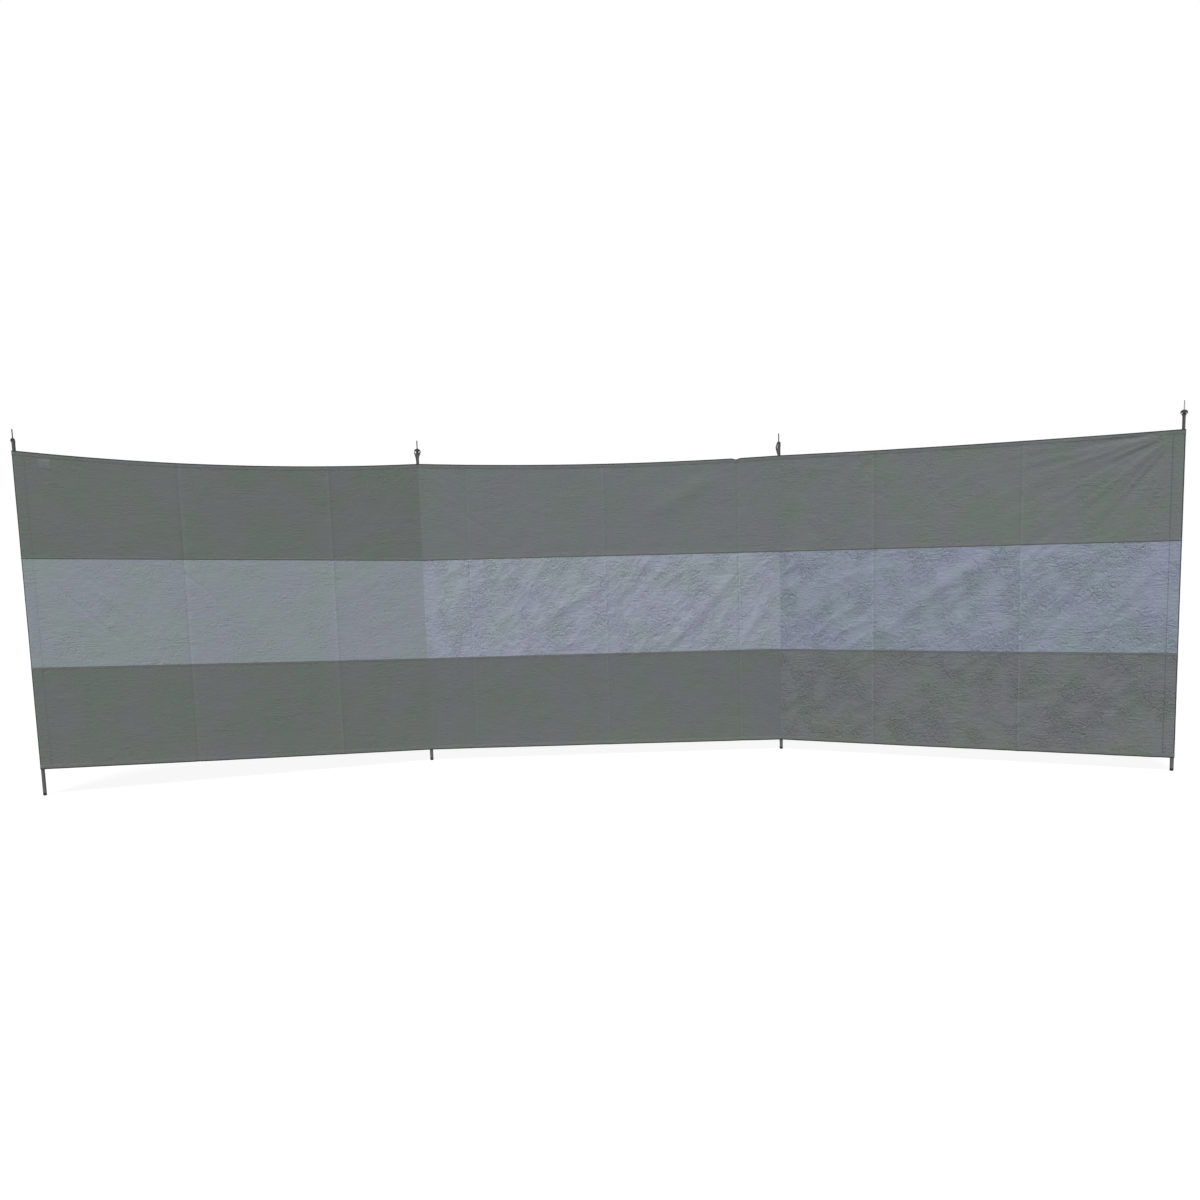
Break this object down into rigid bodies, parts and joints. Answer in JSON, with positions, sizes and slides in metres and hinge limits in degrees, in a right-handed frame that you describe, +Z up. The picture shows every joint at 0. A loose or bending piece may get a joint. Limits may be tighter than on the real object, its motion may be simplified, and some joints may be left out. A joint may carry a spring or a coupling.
{
  "type": "beach windbreak",
  "caption": "Striped cloth windbreak in bays between upright steel poles, with capped pins on top and end bays that swing about the inner poles.",
  "frame": {"origin": "middle of the foot of pole 2, the inner pole at the left, at ground level", "axes": "+X along the middle bay from pole 2 to pole 3, +Y to the back, +Z up; the front and both end bays face -Y"},
  "size_m": [5.0003, 0.8215, 1.612],
  "materials": {
    "dark_cloth": "matt",
    "light_cloth": "matt",
    "pole_tube": "satin",
    "black_plastic": "matt",
    "black_webbing": "matt",
    "steel_pin": "brushed"
  },
  "bodies": {
    "middle_bay": {"pole_2_lower": "pole_tube", "pole_2_upper": "pole_tube", "pole_2_foot": "black_plastic", "pole_2_cap": "black_plastic", "pole_2_pin": "steel_pin", "pole_2_loop": "black_webbing", "pole_2_sleeve": "dark_cloth", "pole_3_lower": "pole_tube", "pole_3_upper": "pole_tube", "pole_3_foot": "black_plastic", "pole_3_cap": "black_plastic", "pole_3_pin": "steel_pin", "pole_3_loop": "black_webbing", "pole_3_sleeve": "dark_cloth", "middle_bottom_hem": "dark_cloth", "middle_lower_stripe": "dark_cloth", "middle_middle_stripe": "light_cloth", "middle_upper_stripe": "dark_cloth", "middle_top_hem": "dark_cloth"},
    "left_bay": {"pole_1_lower": "pole_tube", "pole_1_upper": "pole_tube", "pole_1_foot": "black_plastic", "pole_1_cap": "black_plastic", "pole_1_pin": "steel_pin", "pole_1_loop": "black_webbing", "pole_1_sleeve": "dark_cloth", "left_bottom_hem": "dark_cloth", "left_lower_stripe": "dark_cloth", "left_middle_stripe": "light_cloth", "left_upper_stripe": "dark_cloth", "left_top_hem": "dark_cloth"},
    "right_bay": {"pole_4_lower": "pole_tube", "pole_4_upper": "pole_tube", "pole_4_foot": "black_plastic", "pole_4_cap": "black_plastic", "pole_4_pin": "steel_pin", "pole_4_loop": "black_webbing", "pole_4_sleeve": "dark_cloth", "right_bottom_hem": "dark_cloth", "right_lower_stripe": "dark_cloth", "right_middle_stripe": "light_cloth", "right_upper_stripe": "dark_cloth", "right_top_hem": "dark_cloth"}
  },
  "joints": [
    {"name": "left_bay_swing", "type": "hinge", "parent": "middle_bay", "child": "left_bay", "pos_m": [0, 0, 0], "axis": [0, 0, 1], "range_deg": [-108, 72]},
    {"name": "right_bay_swing", "type": "hinge", "parent": "middle_bay", "child": "right_bay", "pos_m": [1.75, 0, 0], "axis": [0, 0, -1], "range_deg": [-117, 63]}
  ]
}
